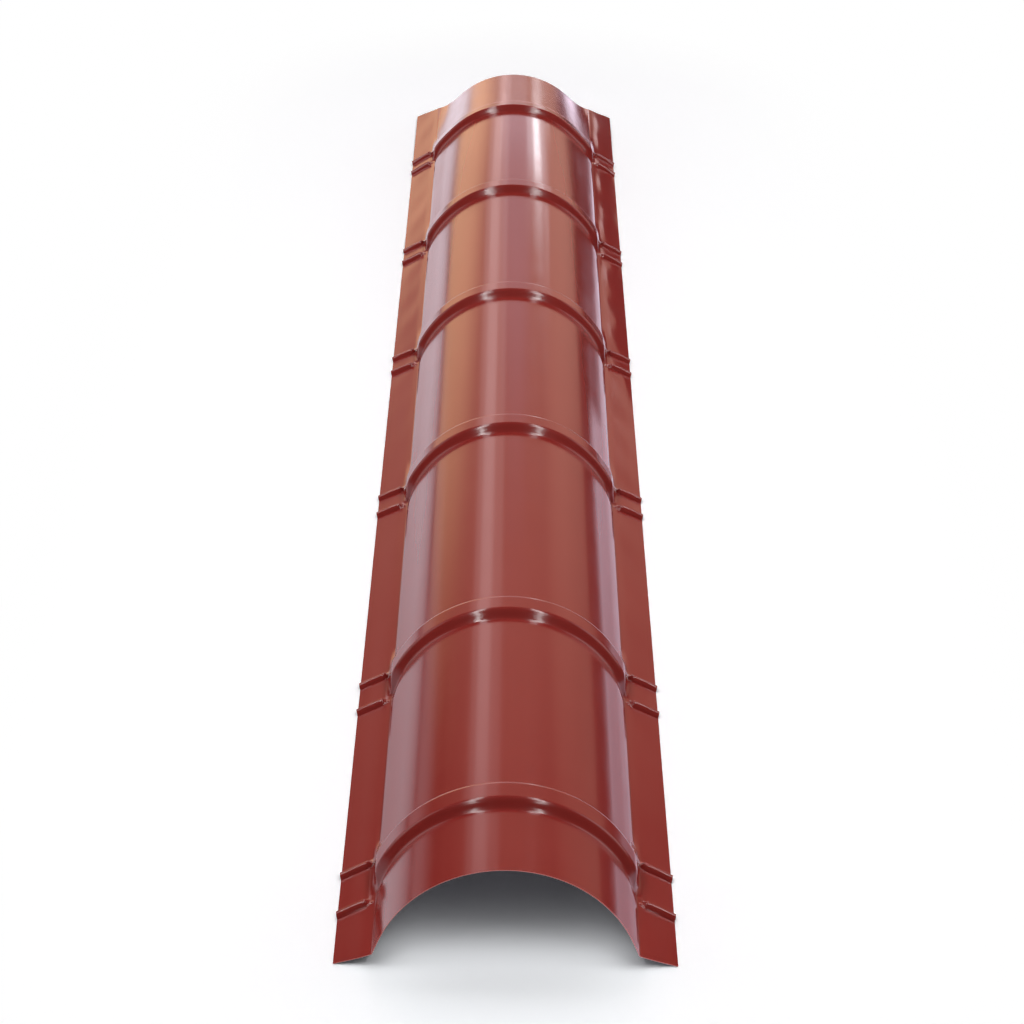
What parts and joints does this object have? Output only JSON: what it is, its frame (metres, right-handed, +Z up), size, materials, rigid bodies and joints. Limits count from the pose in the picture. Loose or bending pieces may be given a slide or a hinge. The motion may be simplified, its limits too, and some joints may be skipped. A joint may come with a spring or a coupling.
{
  "type": "roof ridge cap",
  "caption": "Half-round ridge cap of coated steel sheet with pressed cross ribs, folded side flanges and crimps, laid along the ridge of a metal-tiled roof.",
  "frame": {"origin": "on the floor under the middle of the cap, where its flange edges rest", "axes": "+X across the cap, +Y along it from the first rib to the long plain end, +Z up through the crown"},
  "size_m": [0.2804, 2, 0.1009],
  "materials": {
    "coated_steel": "gloss"
  },
  "bodies": {
    "root": {"ridge_cap": "coated_steel"}
  },
  "joints": []
}
